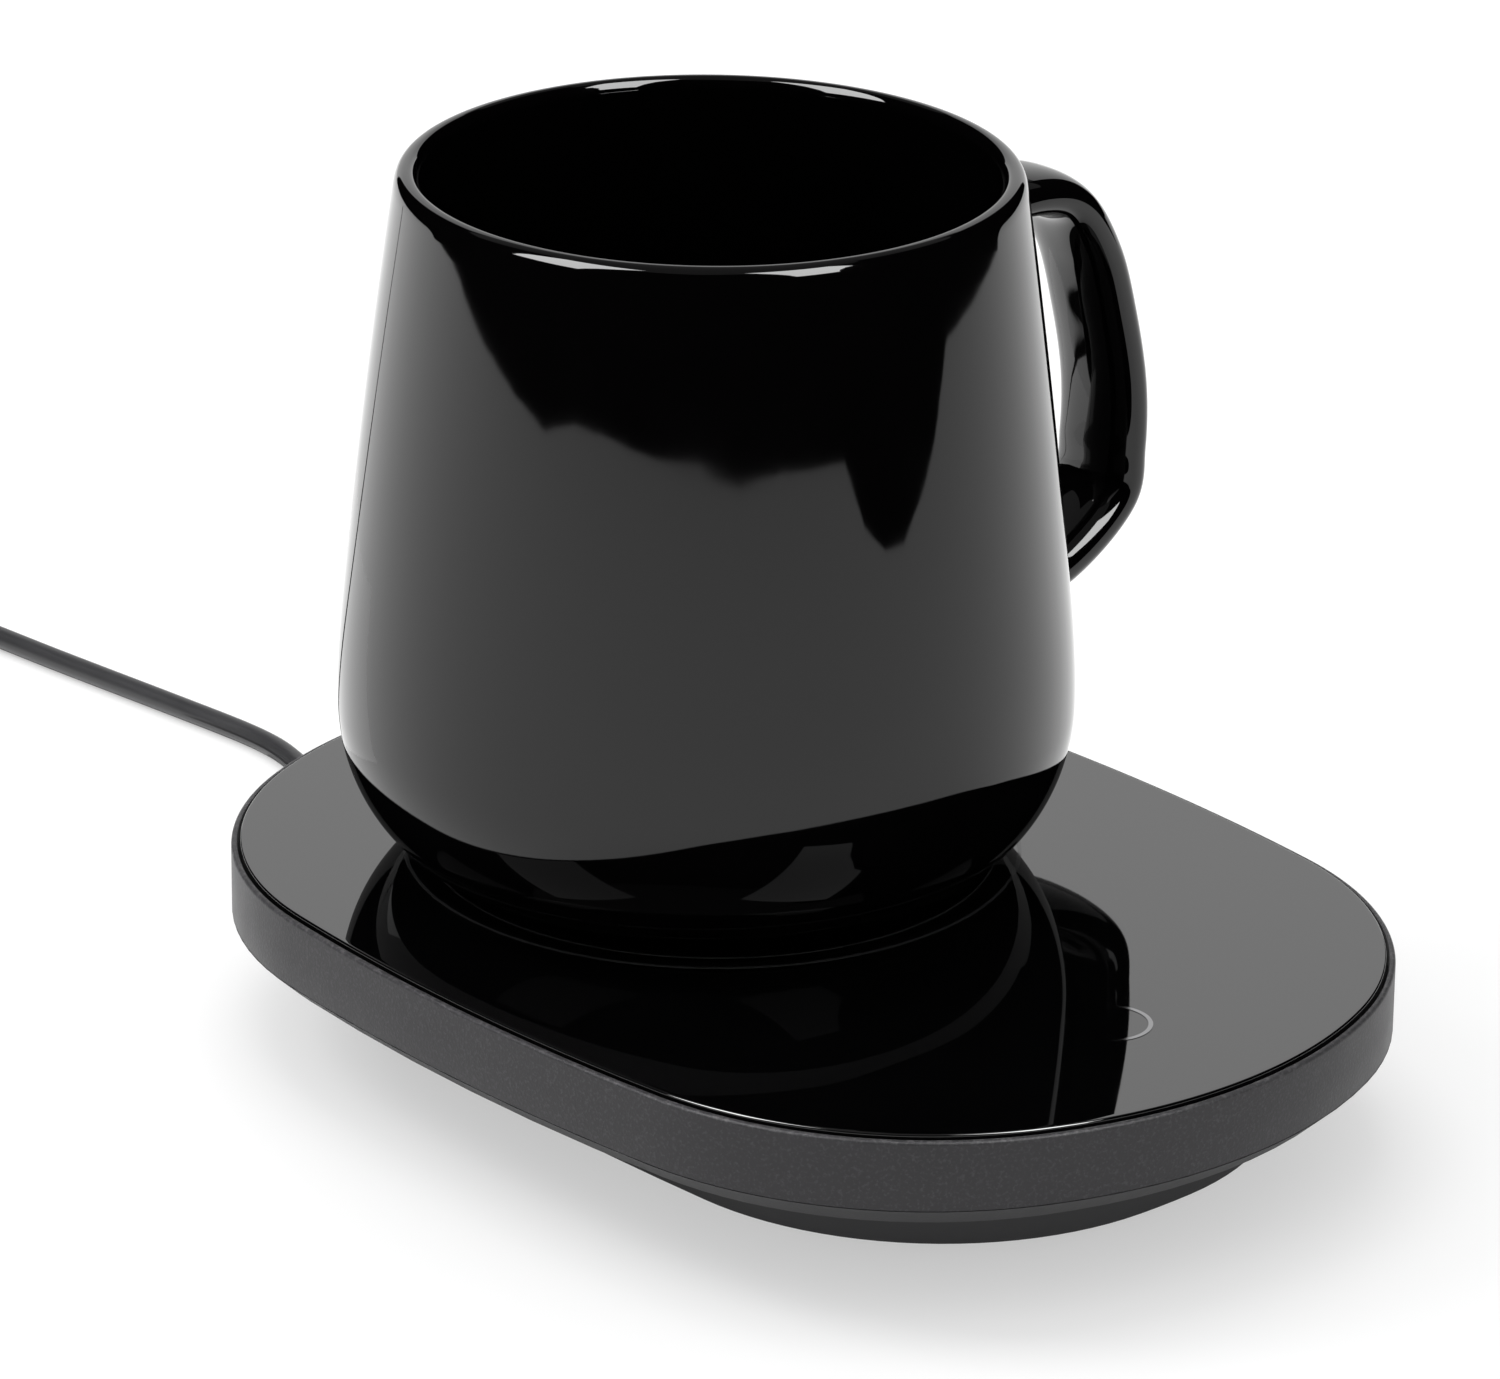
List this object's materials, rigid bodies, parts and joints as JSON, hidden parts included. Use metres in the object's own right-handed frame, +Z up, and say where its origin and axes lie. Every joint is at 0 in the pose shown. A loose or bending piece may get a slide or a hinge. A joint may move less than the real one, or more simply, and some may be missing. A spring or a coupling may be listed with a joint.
{
  "type": "electric mug warmer",
  "caption": "Low oval mug warmer with a black glass top, printed touch control, USB cord and its black glazed mug on the warm zone.",
  "frame": {"origin": "on the surface the stand rests on, below the middle of its outline, in the plane of the four feet", "axes": "+Y along the stand towards the cord, with the touch control at the -Y end; +X towards the mug's handle; +Z up"},
  "size_m": [0.1362, 0.3147, 0.1199],
  "materials": {
    "band_plastic": "fine matt moulded plastic",
    "black_glass": "black back-printed toughened glass, polished",
    "gasket_foam": "closed-cell foam",
    "zone_enamel": "fired grey print",
    "touch_enamel": "fired light grey print",
    "plate_aluminium": "rolled",
    "film_amber": "polyimide film",
    "pad_felt": "needled glass felt",
    "bracket_steel": "zinc plated sheet",
    "screw_steel": "zinc plated",
    "screw_black": "black zinc",
    "fuse_metal": "tinned case",
    "bead_black": "epoxy bead",
    "lead_red": "silicone insulation",
    "lead_black": "silicone insulation",
    "electrode_brass": "plated",
    "spring_steel": "spring wire",
    "led_white": "clear resin",
    "board_green": "solder mask",
    "chip_black": "moulded epoxy",
    "capacitor_blue": "sleeved can",
    "socket_white": "moulded nylon",
    "case_plastic": "fine matt moulded plastic",
    "foot_rubber": "matt rubber",
    "cord_rubber": "smooth satin cord jacket",
    "plug_plastic": "moulded over the shell",
    "plug_metal": "nickel plated sheet",
    "mug_glaze": "glossy black glaze"
  },
  "bodies": {
    "warmer": {"top_shell": "band_plastic", "glass_top": "black_glass", "glass_gasket": "gasket_foam", "zone_print": "zone_enamel", "touch_print": "touch_enamel", "heater_plate": "plate_aluminium", "heater_film": "film_amber", "insulation_pad": "pad_felt", "heater_bracket": "bracket_steel", "bracket_screws": "screw_steel", "thermal_fuse": "fuse_metal", "thermistor": "bead_black", "heater_leads": "lead_red", "sensor_leads": "lead_black", "touch_electrode": "electrode_brass", "touch_spring": "spring_steel", "status_led": "led_white", "control_board": "board_green", "control_chip": "chip_black", "switch_transistor": "chip_black", "capacitor": "capacitor_blue", "heater_socket": "socket_white", "cord_socket": "socket_white", "board_screws": "screw_steel", "bottom_case": "case_plastic", "case_screws": "screw_black", "rubber_feet": "foot_rubber", "strain_relief": "cord_rubber", "cord_leads": "lead_red", "cord": "cord_rubber", "cord_coil": "cord_rubber", "usb_overmould": "plug_plastic", "usb_shell": "plug_metal", "usb_tongue": "socket_white", "usb_contacts": "electrode_brass"},
    "mug": {"mug": "mug_glaze"}
  },
  "joints": [
    {"name": "mug_lift", "type": "slide", "parent": "warmer", "child": "mug", "axis": [0, 0, 1], "range_m": [0, 0.12]}
  ]
}
